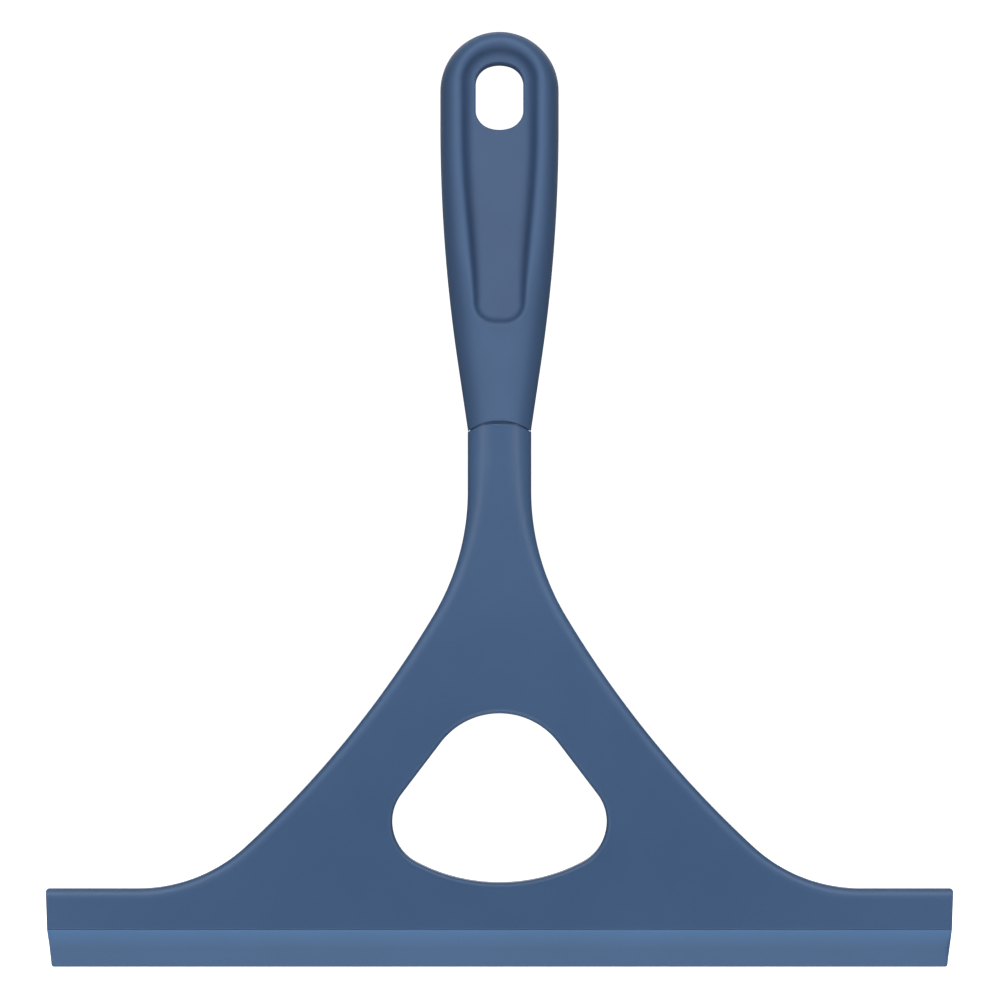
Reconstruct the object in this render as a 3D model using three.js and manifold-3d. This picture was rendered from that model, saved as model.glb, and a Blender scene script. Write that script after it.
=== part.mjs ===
// Hand squeegee: a T-shaped plastic frame, a soft grip sleeve over its tang and a rubber blade in its bar.
// Millimetres. +Z is up along the handle, +X runs along the blade, the broad faces look along -Y and +Y.
// The origin is where a hook bears on the crown of the hanging hole, on the mid-plane.
import * as THREE from "three";
import { mergeVertices } from "three/addons/utils/BufferGeometryUtils.js";
import Module from "manifold-3d";

const wasm = await Module();
wasm.setup();

// Fit between separate pieces, on each side
const clearance = 0.3;

// Hanging hole, a barrel-shaped slot
const holeWidth = 13.1;
const holeLength = 18.5;
const holeCornerRadius = 5.4;
const holeCrownRadius = 8.8;

// Grip sleeve
const gripWidth = 32.6;
const gripLength = 110.1;
const gripAboveHole = 8.8;
const gripParallelLength = 25.8;
const gripTaperRadius = 444.7;
const gripTaperAngle = THREE.MathUtils.degToRad(8.46);
const gripThickness = 20.4;
const gripCrownThickness = 18;
const gripSwellBelowCrown = 46;
const gripEdgeWidth = 4.8;
const gripEdgeDepth = 6.2;
const gripArchRise = 2.8;
const sleeveProud = 0.5;
const sleeveSideWall = 2.8;
const sleeveFaceWall = 2.4;

// Thumb panel sunk into both faces of the grip, with a flat floor
const panelMargin = 6.9;
const panelCrownRise = 1.9;
const panelDepth = 3.6;
const panelFootHeight = 31;
const panelFootRadius = 5.2;

// Tang inside the grip
const tangBelowHole = 7;
const tangCornerRadius = 2;

// Neck
const neckStepOut = 0.1;
const neckThickness = 11.2;
const neckLength = 16.5;
const neckEdgeWidth = 4.4;
const neckEdgeDepth = 4;
const neckThinningStart = 1;
const neckThinningLength = 36;

// Flared plate: three arcs, each tangent to the next, from the neck to the bar's top edge
const flareRadii = [66.7, 286.4, 43.8];
const flareAngles = [30.84, 47.33, 90].map(THREE.MathUtils.degToRad);
const plateThickness = 6;
const plateEdge = 1.9;

// Window through the plate
const windowHeight = 46.65;
const windowAboveBar = 1.65;
const windowCrownRadius = 20.3;
const windowCornerRadius = 12.5;
const windowCornerOffset = 17.1;
const windowCornerRise = 16.75;

// Bar with the channel for the blade
const bladeLength = 250;
const barHeight = 11;
const barEndDraft = 0.35;
const jawWall = 1.2;
const channelHeight = 2.9;
const channelDepth = 5.6;
const throatWidth = 1.8;

// Blade
const shoulderHeight = 4.8;
const shoulderStepIn = 0.2;
const lipThickness = 1.8;
const lipEdgeThickness = 1.2;
const bladeHeight = 10.65;
const bladeEndDraft = 1.15;

// Widths and heights that follow from the sizes above
const gripCrown = gripAboveHole;
const gripCentre = gripCrown - gripWidth / 2;
const taperStart = gripCrown - gripParallelLength;
const gripEnd = gripCrown - gripLength;
const taperArcEnd = taperStart - gripTaperRadius * Math.sin(gripTaperAngle);
const archCrown = gripEnd + gripArchRise;
const panelBottom = gripEnd + panelFootHeight;
const gripEndThickness = neckThickness + 2 * sleeveProud;
const tangWidth = 2 * (gripHalfWidth(gripEnd) - sleeveSideWall - clearance);
const tangThickness = gripEndThickness - 2 * (sleeveFaceWall + clearance);
const neckHalf = gripHalfWidth(gripEnd) + neckStepOut;
const flareStart = gripEnd - neckLength;
const flareArcs = flareChain();
const flareFoot = flareArcs.at(-1);
const barTop = flareFoot.z - flareFoot.radius * Math.sin(flareFoot.to);
const seam = barTop - barHeight;
const ridge = seam - shoulderHeight;
const wipingEdge = seam - bladeHeight;
const lipPivot = ridge - clearance - lipThickness / 2;
const channelWidth = plateThickness - 2 * jawWall;
const shoulderWidth = plateThickness - 2 * shoulderStepIn;

// Drawing: steps in each curve and rounded edge, how far a curve's handles reach, and how far cuts overrun
const curveSteps = 8;
const bevelSteps = 4;
const curvePull = 0.42;
const beyond = 20;

// Half the grip's width at a height, below its rounded top.
function gripHalfWidth(z) {
  if (z > taperStart) return gripWidth / 2;
  if (z > taperArcEnd) {
    const drop = taperStart - z;
    return gripWidth / 2 - gripTaperRadius + Math.sqrt(gripTaperRadius ** 2 - drop ** 2);
  }
  const arcLoss = gripTaperRadius * (1 - Math.cos(gripTaperAngle));
  return gripWidth / 2 - arcLoss - (taperArcEnd - z) * Math.tan(gripTaperAngle);
}

// The flare's arcs on the +X side, each with its centre, and its start and end angles from upright.
function flareChain() {
  const arcs = [];
  let edge = neckHalf;
  let height = flareStart;
  let from = 0;
  flareRadii.forEach((radius, i) => {
    const to = flareAngles[i];
    const x = edge + radius * Math.cos(from);
    const z = height + radius * Math.sin(from);
    arcs.push({ x, z, radius, from, to });
    edge = x - radius * Math.cos(to);
    height = z - radius * Math.sin(to);
    from = to;
  });
  return arcs;
}

// A closed three.js geometry as a solid.
function solidFrom(geometry) {
  geometry.deleteAttribute("normal");
  geometry.deleteAttribute("uv");
  const welded = mergeVertices(geometry, 1e-4);
  return new wasm.Manifold(
    new wasm.Mesh({
      numProp: 3,
      vertProperties: welded.attributes.position.array,
      triVerts: new Uint32Array(welded.index.array),
    }),
  );
}

// A front-view outline as a slab about the mid-plane. edgeWidth and edgeDepth round its edges.
function slab(outline, thickness, edgeWidth = 0, edgeDepth = 0) {
  const straight = thickness - 2 * edgeDepth;
  const geometry = new THREE.ExtrudeGeometry(outline, {
    depth: straight,
    curveSegments: curveSteps,
    bevelEnabled: edgeWidth > 0,
    bevelThickness: edgeDepth,
    bevelSize: edgeWidth,
    bevelOffset: -edgeWidth,
    bevelSegments: bevelSteps,
  });
  geometry.translate(0, 0, -straight / 2);
  geometry.rotateX(Math.PI / 2);
  return solidFrom(geometry);
}

// A side-view profile, drawn as (y, z), run along X and centred on the middle.
function run(profile, length) {
  const geometry = new THREE.ExtrudeGeometry(profile, {
    depth: length,
    curveSegments: curveSteps,
    bevelEnabled: false,
  });
  geometry.translate(0, 0, -length / 2);
  const turned = new THREE.Matrix4().makeBasis(
    new THREE.Vector3(0, 1, 0),
    new THREE.Vector3(0, 0, 1),
    new THREE.Vector3(1, 0, 0),
  );
  geometry.applyMatrix4(turned);
  return solidFrom(geometry);
}

// The slot a hook goes through.
function holeOutline() {
  const cornerX = holeWidth / 2 - holeCornerRadius;
  const rise = Math.sqrt((holeCrownRadius - holeCornerRadius) ** 2 - cornerX ** 2);
  const crownZ = -holeCrownRadius;
  const floorZ = -holeLength + holeCrownRadius;
  const turn = Math.atan2(rise, cornerX);
  const half = Math.PI / 2;
  const outline = new THREE.Shape();
  outline.absarc(-cornerX, crownZ + rise, holeCornerRadius, Math.PI, Math.PI - turn, true);
  outline.absarc(0, crownZ, holeCrownRadius, Math.PI - turn, turn, true);
  outline.absarc(cornerX, crownZ + rise, holeCornerRadius, turn, 0, true);
  outline.absarc(cornerX, floorZ - rise, holeCornerRadius, 0, -turn, true);
  outline.absarc(0, floorZ, holeCrownRadius, -turn, -2 * half + turn, true);
  outline.absarc(-cornerX, floorZ - rise, holeCornerRadius, -2 * half + turn, -2 * half, true);
  return outline;
}

// The grip from the front, carried on below its end so that the arch can be cut from it.
function gripOutline() {
  const half = gripWidth / 2;
  const low = gripEnd - clearance - gripEdgeWidth;
  const lowHalf = gripHalfWidth(low);
  const taperCentre = half - gripTaperRadius;
  const outline = new THREE.Shape();
  outline.moveTo(lowHalf, low);
  outline.lineTo(-lowHalf, low);
  outline.absarc(-taperCentre, taperStart, gripTaperRadius, Math.PI + gripTaperAngle, Math.PI, true);
  outline.absarc(0, gripCentre, half, Math.PI, 0, true);
  outline.absarc(taperCentre, taperStart, gripTaperRadius, 0, -gripTaperAngle, true);
  outline.closePath();
  return outline;
}

// The thumb panel from the front: the grip's outline moved in, with a rounded foot.
function panelOutline() {
  const half = gripWidth / 2 - panelMargin;
  const radius = gripTaperRadius - panelMargin;
  const taperCentre = gripWidth / 2 - gripTaperRadius;
  const footTop = panelBottom + panelFootRadius;
  const turn = Math.asin((taperStart - footTop) / radius);
  const sideHalf = taperCentre + radius * Math.cos(turn);
  const footRadius = Math.min(panelFootRadius, sideHalf);
  const footCentre = sideHalf - footRadius;
  const outline = new THREE.Shape();
  outline.absarc(-taperCentre, taperStart, radius, Math.PI + turn, Math.PI, true);
  outline.absarc(0, gripCentre + panelCrownRise, half, Math.PI, 0, true);
  outline.absarc(taperCentre, taperStart, radius, 0, -turn, true);
  outline.absarc(footCentre, footTop, footRadius, 0, -Math.PI / 2, true);
  outline.absarc(-footCentre, footTop, footRadius, -Math.PI / 2, -Math.PI, true);
  outline.closePath();
  return outline;
}

// The grip from the side: fullest where the palm bears, thinner at the crown and at the neck.
function gripSide() {
  const crown = gripCrownThickness / 2;
  const full = gripThickness / 2;
  const end = gripEndThickness / 2;
  const swell = gripCrown - gripSwellBelowCrown;
  const low = gripEnd - beyond;
  const endPull = gripEnd + (swell - gripEnd) * curvePull;
  const underPull = swell - (swell - gripEnd) * curvePull;
  const overPull = swell + (gripCrown - swell) * curvePull;
  const crownPull = gripCrown - (gripCrown - swell) * curvePull;
  const profile = new THREE.Shape();
  profile.moveTo(-end, low);
  profile.lineTo(-end, gripEnd);
  profile.bezierCurveTo(-end, endPull, -full, underPull, -full, swell);
  profile.bezierCurveTo(-full, overPull, -crown, crownPull, -crown, gripCrown);
  profile.lineTo(crown, gripCrown);
  profile.bezierCurveTo(crown, crownPull, full, overPull, full, swell);
  profile.bezierCurveTo(full, underPull, end, endPull, end, gripEnd);
  profile.lineTo(end, low);
  profile.closePath();
  return profile;
}

// Everything under the arch that ends the grip, moved down by a drop.
function underArch(drop) {
  const half = gripWidth;
  const sideHalf = gripHalfWidth(gripEnd);
  const radius = (sideHalf ** 2 + gripArchRise ** 2) / (2 * gripArchRise);
  const centre = archCrown - radius - drop;
  const turn = Math.asin(sideHalf / radius);
  const low = flareStart - gripLength;
  const outline = new THREE.Shape();
  outline.moveTo(-half, low);
  outline.lineTo(-half, gripEnd - drop);
  outline.absarc(0, centre, radius, Math.PI / 2 + turn, Math.PI / 2 - turn, true);
  outline.lineTo(half, gripEnd - drop);
  outline.lineTo(half, low);
  outline.closePath();
  return slab(outline, gripThickness + beyond);
}

// The tang, or the socket for it when grown by the clearance.
function tang(grow) {
  const half = tangWidth / 2 + grow;
  const top = -holeLength - tangBelowHole + grow;
  const low = gripEnd - neckLength / 2;
  const round = tangCornerRadius + grow;
  const outline = new THREE.Shape();
  outline.moveTo(-half, low);
  outline.lineTo(-half, top - round);
  outline.absarc(-half + round, top - round, round, Math.PI, Math.PI / 2, true);
  outline.absarc(half - round, top - round, round, Math.PI / 2, 0, true);
  outline.lineTo(half, low);
  outline.closePath();
  return slab(outline, tangThickness + 2 * grow);
}

function gripSleeve() {
  const body = slab(gripOutline(), gripThickness, gripEdgeWidth, gripEdgeDepth);
  const shaped = body.intersect(run(gripSide(), gripWidth + beyond));
  const core = slab(gripOutline(), gripThickness - 2 * panelDepth);
  const panels = slab(panelOutline(), gripThickness + beyond).subtract(core);
  const hole = slab(holeOutline(), gripThickness + beyond);
  return shaped.subtract(panels).subtract(hole).subtract(underArch(0)).subtract(tang(clearance));
}

// The frame's front outline from a top height down to a bottom edge. The bar's ends draw in a little.
function frameOutline(top, bottom) {
  const barHalf = bladeLength / 2;
  const lowHalf = barHalf - (barEndDraft * (barTop - bottom)) / barHeight;
  const outline = new THREE.Shape();
  outline.moveTo(-neckHalf, top);
  outline.lineTo(neckHalf, top);
  for (const { x, z, radius, from, to } of flareArcs) {
    outline.absarc(x, z, radius, Math.PI + from, Math.PI + to, false);
  }
  outline.lineTo(barHalf, barTop);
  outline.lineTo(lowHalf, bottom);
  outline.lineTo(-lowHalf, bottom);
  outline.lineTo(-barHalf, barTop);
  for (const { x, z, radius, from, to } of flareArcs.toReversed()) {
    outline.absarc(-x, z, radius, -to, -from, false);
  }
  outline.closePath();
  return outline;
}

// The neck's side view: thick under the grip, thinning into the plate.
function neckSide() {
  const thick = neckThickness / 2;
  const thin = plateThickness / 2;
  const start = flareStart + neckThinningStart;
  const end = start - neckThinningLength;
  const pull = neckThinningLength * curvePull;
  const high = archCrown + beyond;
  const low = end - beyond;
  const profile = new THREE.Shape();
  profile.moveTo(-thin + clearance, low);
  profile.lineTo(-thin, end);
  profile.bezierCurveTo(-thin, end + pull, -thick, start - pull, -thick, start);
  profile.lineTo(-thick, high);
  profile.lineTo(thick, high);
  profile.lineTo(thick, start);
  profile.bezierCurveTo(thick, start - pull, thin, end + pull, thin, end);
  profile.lineTo(thin - clearance, low);
  profile.closePath();
  return profile;
}

function windowOutline() {
  const foot = barTop + windowAboveBar;
  const crown = foot + windowHeight;
  const crownZ = crown - windowCrownRadius;
  const cornerZ = foot + windowCornerRise;
  const run = Math.hypot(windowCornerOffset, crownZ - cornerZ);
  const lean = Math.atan2(crownZ - cornerZ, windowCornerOffset);
  const tangent = Math.acos((windowCrownRadius - windowCornerRadius) / run) - lean;
  const drop = cornerZ - foot;
  const reach = windowCornerRadius ** 2 - windowCornerOffset ** 2 - drop ** 2;
  const footRadius = reach / (2 * (windowCornerRadius - drop));
  const footZ = foot + footRadius;
  const swing = Math.atan2(cornerZ - footZ, windowCornerOffset);
  const outline = new THREE.Shape();
  outline.absarc(0, crownZ, windowCrownRadius, Math.PI - tangent, tangent, true);
  outline.absarc(windowCornerOffset, cornerZ, windowCornerRadius, tangent, swing, true);
  outline.absarc(0, footZ, footRadius, swing, -Math.PI - swing, true);
  const left = -Math.PI - swing;
  outline.absarc(-windowCornerOffset, cornerZ, windowCornerRadius, left, -Math.PI - tangent, true);
  return outline;
}

// The T channel under the bar: a wide part for the bead, and a throat for the stem.
function channelSide() {
  const bead = channelWidth / 2;
  const throat = throatWidth / 2;
  const top = seam + channelDepth;
  const shelf = top - channelHeight;
  const profile = new THREE.Shape();
  profile.moveTo(-throat, seam - beyond);
  profile.lineTo(throat, seam - beyond);
  profile.lineTo(throat, shelf);
  profile.lineTo(bead, shelf);
  profile.lineTo(bead, top);
  profile.lineTo(-bead, top);
  profile.lineTo(-bead, shelf);
  profile.lineTo(-throat, shelf);
  profile.closePath();
  return profile;
}

function headFrame() {
  const low = seam - beyond;
  const plateTop = flareStart + neckLength / 4;
  const plate = slab(frameOutline(plateTop, low), plateThickness, plateEdge, plateEdge);
  const upper = slab(frameOutline(gripCrown, low), neckThickness, neckEdgeWidth, neckEdgeDepth);
  const neck = upper.intersect(run(neckSide(), bladeLength)).intersect(underArch(clearance));
  const below = new THREE.Shape([
    new THREE.Vector2(-bladeLength, seam),
    new THREE.Vector2(-bladeLength, seam - bladeLength),
    new THREE.Vector2(bladeLength, seam - bladeLength),
    new THREE.Vector2(bladeLength, seam),
  ]);
  const whole = plate.subtract(slab(below, neckThickness + beyond)).add(neck).add(tang(0));
  const open = slab(windowOutline(), neckThickness + beyond);
  return whole.subtract(open).subtract(run(channelSide(), bladeLength + beyond));
}

// The blade's ends from the front: upright in the channel, drawn in towards the wiping edge.
function bladeEnds() {
  const half = bladeLength / 2 - barEndDraft;
  const outline = new THREE.Shape();
  outline.moveTo(-half, barTop);
  outline.lineTo(-half, seam);
  outline.lineTo(-half + bladeEndDraft, wipingEdge);
  outline.lineTo(half - bladeEndDraft, wipingEdge);
  outline.lineTo(half, seam);
  outline.lineTo(half, barTop);
  outline.closePath();
  return slab(outline, plateThickness + beyond);
}

// The blade above its lip, from the side: bead, stem and tapering shoulder.
function bladeRoot() {
  const bead = channelWidth / 2 - clearance;
  const stem = throatWidth / 2 - clearance;
  const top = seam + channelDepth - clearance;
  const shelf = seam + channelDepth - channelHeight + clearance;
  const shoulderTop = seam - clearance;
  const profile = new THREE.Shape();
  profile.moveTo(-lipThickness / 2, ridge);
  profile.lineTo(lipThickness / 2, ridge);
  profile.lineTo(shoulderWidth / 2, shoulderTop);
  profile.lineTo(stem, shoulderTop);
  profile.lineTo(stem, shelf);
  profile.lineTo(bead, shelf);
  profile.lineTo(bead, top);
  profile.lineTo(-bead, top);
  profile.lineTo(-bead, shelf);
  profile.lineTo(-stem, shelf);
  profile.lineTo(-stem, shoulderTop);
  profile.lineTo(-shoulderWidth / 2, shoulderTop);
  profile.closePath();
  return run(profile, bladeLength).intersect(bladeEnds());
}

// The lip that bends, from the side: round about its pivot, thinner at the wiping edge.
function bladeLip() {
  const root = lipThickness / 2;
  const edge = lipEdgeThickness / 2;
  const profile = new THREE.Shape();
  profile.moveTo(-edge, wipingEdge);
  profile.lineTo(edge, wipingEdge);
  profile.lineTo(root, lipPivot);
  profile.absarc(0, lipPivot, root, 0, Math.PI, false);
  profile.closePath();
  return run(profile, bladeLength).intersect(bladeEnds());
}

// A solid as a named mesh.
function meshOf(name, solid, material) {
  const made = solid.getMesh();
  const geometry = new THREE.BufferGeometry();
  geometry.setAttribute("position", new THREE.BufferAttribute(made.vertProperties, made.numProp));
  geometry.setIndex(new THREE.BufferAttribute(made.triVerts, 1));
  const mesh = new THREE.Mesh(geometry, material);
  mesh.name = name;
  return mesh;
}

const hardPlastic = new THREE.MeshStandardMaterial({ color: 0x486488, roughness: 0.5, metalness: 0 });
const softGrip = new THREE.MeshStandardMaterial({ color: 0x526a8c, roughness: 0.65, metalness: 0 });
const bladeRubber = new THREE.MeshStandardMaterial({ color: 0x59779d, roughness: 0.6, metalness: 0 });

const squeegee = new THREE.Group();
squeegee.name = "hand_squeegee";
squeegee.add(meshOf("head_frame", headFrame(), hardPlastic));
squeegee.add(meshOf("grip_sleeve", gripSleeve(), softGrip));

// The blade is one group, since its lip goes wherever its root goes.
const blade = new THREE.Group();
blade.name = "blade";
blade.add(meshOf("blade_root", bladeRoot(), bladeRubber));
blade.add(meshOf("blade_lip", bladeLip(), bladeRubber));
squeegee.add(blade);

export default squeegee;
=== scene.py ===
import math
import bpy
import bmesh
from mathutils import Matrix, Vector
from mathutils.geometry import delaunay_2d_cdt


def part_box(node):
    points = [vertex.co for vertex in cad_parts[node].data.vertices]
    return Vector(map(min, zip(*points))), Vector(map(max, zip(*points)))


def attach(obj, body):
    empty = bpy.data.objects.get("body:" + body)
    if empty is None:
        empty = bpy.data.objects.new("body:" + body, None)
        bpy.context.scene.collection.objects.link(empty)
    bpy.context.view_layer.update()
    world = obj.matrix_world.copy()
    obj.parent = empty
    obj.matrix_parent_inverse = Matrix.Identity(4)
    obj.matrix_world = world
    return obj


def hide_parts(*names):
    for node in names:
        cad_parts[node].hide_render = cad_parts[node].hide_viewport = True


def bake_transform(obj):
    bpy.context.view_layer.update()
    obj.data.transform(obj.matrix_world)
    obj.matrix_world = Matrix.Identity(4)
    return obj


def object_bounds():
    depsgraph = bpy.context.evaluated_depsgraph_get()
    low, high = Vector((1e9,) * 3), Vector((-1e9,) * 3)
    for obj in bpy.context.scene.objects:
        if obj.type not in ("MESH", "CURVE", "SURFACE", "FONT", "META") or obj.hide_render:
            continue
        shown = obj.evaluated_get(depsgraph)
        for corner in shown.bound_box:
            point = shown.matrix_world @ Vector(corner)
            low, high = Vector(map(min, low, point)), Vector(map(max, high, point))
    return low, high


# A hand squeegee: plastic frame, soft grip sleeve, rubber blade.
# Lengths in the dictionaries are millimetres unless a note says metres; meshes are made in metres.
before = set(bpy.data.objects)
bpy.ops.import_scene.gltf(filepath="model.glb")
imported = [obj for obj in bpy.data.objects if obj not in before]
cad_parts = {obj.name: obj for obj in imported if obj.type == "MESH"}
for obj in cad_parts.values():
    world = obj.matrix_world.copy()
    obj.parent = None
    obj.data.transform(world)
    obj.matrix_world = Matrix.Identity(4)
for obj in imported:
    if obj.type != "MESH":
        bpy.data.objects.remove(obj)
cadLow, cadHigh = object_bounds()
mm = 0.001
print("frame loaded:", ", ".join(sorted(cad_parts)))


def boxMm(node):
    low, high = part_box(node)
    return [v / mm for v in low], [v / mm for v in high]


sleeveLow, sleeveHigh = boxMm("grip_sleeve")
frameLow, frameHigh = boxMm("head_frame")
rootLow = boxMm("blade_root")[0]
lipLow, lipHigh = boxMm("blade_lip")

# camera and studio

studio = {
    "cameraDistance": 1500,  # from the mid-plane of the squeegee
    "frameWidth": 275.9,  # what the picture spans at that distance
    "aimRight": 0.14,
    "aimHeight": -120.24,
    "sensorWidth": 36,
    "nearClip": 0.05,  # metres
    "farClip": 30,  # metres
    "floorBelowBlade": 60,
    "coveRadius": 4500,
    "coveSweep": 0.25,  # shares of the cove's radius: the sweep up, each floor ring and each wall ring
    "coveFloorRing": 0.15,
    "coveWallRing": 0.5,
    "floorRings": 6,
    "sweepRings": 10,
    "wallRings": 3,
    "coveSteps": 96,
    "coveGrey": 0.85,
    "coveRoughness": 0.9,
    "coveSpecular": 0.1,
    "coveGlow": 1.0,
    "skyColour": (0.93, 0.96, 1, 1),
    "skyStrength": 0.12,
}


def makeCamera():
    camera = bpy.data.cameras.new("camera")
    camera.sensor_width = studio["sensorWidth"]
    camera.lens = studio["sensorWidth"] * studio["cameraDistance"] / studio["frameWidth"]
    camera.clip_start = studio["nearClip"]
    camera.clip_end = studio["farClip"]
    holder = bpy.data.objects.new("camera", camera)
    bpy.context.scene.collection.objects.link(holder)
    aim = (studio["aimRight"], -studio["cameraDistance"], studio["aimHeight"])
    holder.location = [v * mm for v in aim]
    holder.rotation_euler = (math.pi / 2, 0, 0)
    bpy.context.scene.camera = holder


lights = [
    # name, azimuth and elevation it shines from in degrees, distance, width and height in metres, watts
    ("keyLeft", -25, 34, 1.2, 0.8, 0.45, 3.15),
    ("keyRight", 25, 34, 1.2, 0.8, 0.45, 2.95),
    ("sideLeft", -40, -4, 1.2, 0.4, 0.9, 1.95),
    ("sideRight", 40, -4, 1.2, 0.4, 0.9, 1.8),
    ("lowFill", 0, -38, 1.2, 0.9, 0.35, 2.8),
    ("overhead", 0, 70, 1.0, 1.0, 0.5, 1.4),
    ("floorBounce", 0, -76, 0.8, 0.9, 0.4, 1.2),
    ("backLeft", -163, 24, 1.4, 0.8, 0.9, 4.2),
    ("backRight", 163, 24, 1.4, 0.8, 0.9, 4.2),
]


def makeLights():
    middle = Vector((0, 0, (cadLow.z + cadHigh.z) / 2))
    for name, azimuth, elevation, distance, width, height, watts in lights:
        lamp = bpy.data.lights.new(name, "AREA")
        lamp.shape = "RECTANGLE"
        lamp.size = width
        lamp.size_y = height
        lamp.energy = watts
        holder = bpy.data.objects.new(name, lamp)
        turn = math.radians(azimuth)
        rise = math.radians(elevation)
        level = math.cos(rise)
        way = Vector((math.sin(turn) * level, -math.cos(turn) * level, math.sin(rise)))
        holder.location = middle + way * distance
        holder.rotation_mode = "QUATERNION"
        holder.rotation_quaternion = way.to_track_quat("Z", "Y")
        bpy.context.scene.collection.objects.link(holder)


def whiteMaterial(name, strength):
    material = bpy.data.materials.new(name)
    material.use_nodes = True
    shader = material.node_tree.nodes["Principled BSDF"]
    shader.inputs["Base Color"].default_value = (*[studio["coveGrey"]] * 3, 1)
    shader.inputs["Roughness"].default_value = studio["coveRoughness"]
    shader.inputs["Specular IOR Level"].default_value = studio["coveSpecular"]
    shader.inputs["Emission Color"].default_value = (1, 1, 1, 1)
    shader.inputs["Emission Strength"].default_value = strength
    return material


def makeStage():
    # a round white cove: a floor disc with a wall that sweeps up all round it
    floorZ = cadLow.z - studio["floorBelowBlade"] * mm
    radius = studio["coveRadius"] * mm
    sweep = radius * studio["coveSweep"]
    rings = [(radius * studio["coveFloorRing"] * i, floorZ) for i in range(1, studio["floorRings"])]
    for i in range(1, studio["sweepRings"] + 1):
        t = math.pi / 2 * i / studio["sweepRings"]
        rings.append((radius - sweep + sweep * math.sin(t), floorZ + sweep * (1 - math.cos(t))))
    for i in range(1, studio["wallRings"] + 1):
        rings.append((radius, floorZ + sweep + radius * studio["coveWallRing"] * i))
    mesh = bmesh.new()
    centre = mesh.verts.new((0, 0, floorZ))
    steps = studio["coveSteps"]
    turns = [2 * math.pi * k / steps for k in range(steps)]
    loops = []
    for out, height in rings:
        loops.append([mesh.verts.new((out * math.cos(t), out * math.sin(t), height)) for t in turns])
    for k in range(steps):
        mesh.faces.new((centre, loops[0][k], loops[0][(k + 1) % steps]))
        for inner, outer in zip(loops, loops[1:]):
            mesh.faces.new((inner[k], outer[k], outer[(k + 1) % steps], inner[(k + 1) % steps]))
    data = bpy.data.meshes.new("cove")
    mesh.to_mesh(data)
    mesh.free()
    data.polygons.foreach_set("use_smooth", [True] * len(data.polygons))
    cove = bpy.data.objects.new("cove", data)
    bpy.context.scene.collection.objects.link(cove)
    data.materials.append(whiteMaterial("coveWhite", studio["coveGlow"]))
    cove.visible_diffuse = False  # the squeegee is lit by the lamps and the sky only
    cove.visible_glossy = False
    cove.visible_shadow = False


def makeSky():
    world = bpy.data.worlds.new("studioSky")
    bpy.context.scene.world = world
    world.use_nodes = True
    back = world.node_tree.nodes["Background"]
    back.inputs["Color"].default_value = studio["skyColour"]
    back.inputs["Strength"].default_value = studio["skyStrength"]


makeCamera()
makeLights()
makeStage()
makeSky()
bpy.context.scene.view_settings.view_transform = "Standard"
print("camera, lamps and cove set up")

# helpers that draw a front view and turn it into a solid

nearest = 1e-4  # outline points closer than this are one point
weld = 1e-5  # the triangulation's own tolerance
tiny = 1e-9  # keeps a division or an angle defined
thinRows = 0.4  # on a thin wall the rows stand at this share of its half thickness


def smooth(t):
    t = min(1, max(0, t))
    return t * t * (3 - 2 * t)


def mix(a, b, t):
    return a + (b - a) * t


def alongKeys(keys, at):
    # a smooth curve through (place, value) keys given in falling order
    if at >= keys[0][0]:
        return keys[0][1]
    if at <= keys[-1][0]:
        return keys[-1][1]
    for i in range(len(keys) - 1):
        (a, va), (b, vb) = keys[i], keys[i + 1]
        if b <= at <= a:
            before = keys[i - 1] if i > 0 else keys[i]
            after = keys[i + 2] if i + 2 < len(keys) else keys[i + 1]
            slopeA = (vb - before[1]) / (b - before[0])
            slopeB = (after[1] - va) / (after[0] - a)
            span = b - a
            t = (at - a) / span
            return ((2 * t ** 3 - 3 * t ** 2 + 1) * va + (t ** 3 - 2 * t ** 2 + t) * span * slopeA
                    + (3 * t ** 2 - 2 * t ** 3) * vb + (t ** 3 - t ** 2) * span * slopeB)


def edgeDrop(d, width, depth):
    # how far a rounded edge has fallen from the face, d in from the outline
    if d >= width:
        return 0
    u = 1 - max(0, d) / width
    return depth * (1 - math.sqrt(max(0, 1 - u * u)))


def arc(x, z, radius, start, end, step):
    count = max(2, math.ceil(abs(end - start) * radius / step))
    return [(x + radius * math.cos(start + (end - start) * i / count),
             z + radius * math.sin(start + (end - start) * i / count)) for i in range(count + 1)]


def line(x0, z0, x1, z1, step):
    count = max(1, math.ceil(math.hypot(x1 - x0, z1 - z0) / step))
    return [(mix(x0, x1, i / count), mix(z0, z1, i / count)) for i in range(count + 1)]


def mirrored(points):
    return [(-x, z) for x, z in reversed(points)]


def newPlan():
    return {"points": [], "edges": [], "faces": []}


def addRun(plan, points, closed=False, asFace=False):
    kept = []
    for p in points:
        if not kept or math.dist(p, kept[-1]) > nearest:
            kept.append(p)
    if closed and math.dist(kept[0], kept[-1]) < nearest:
        kept.pop()
    first = len(plan["points"])
    plan["points"] += kept
    count = len(kept)
    plan["edges"] += [(first + i, first + i + 1) for i in range(count - 1)]
    if closed:
        plan["edges"].append((first + count - 1, first))
    if asFace:
        turn = sum(a[0] * b[1] - b[0] * a[1] for a, b in zip(kept, kept[1:] + kept[:1]))
        order = list(range(first, first + count))
        plan["faces"].append(order if turn > 0 else order[::-1])


def addLoose(plan, x, z):
    # a point of its own on each side, or one on the middle line
    plan["points"] += [(x, z)] if x == 0 else [(x, z), (-x, z)]


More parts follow.
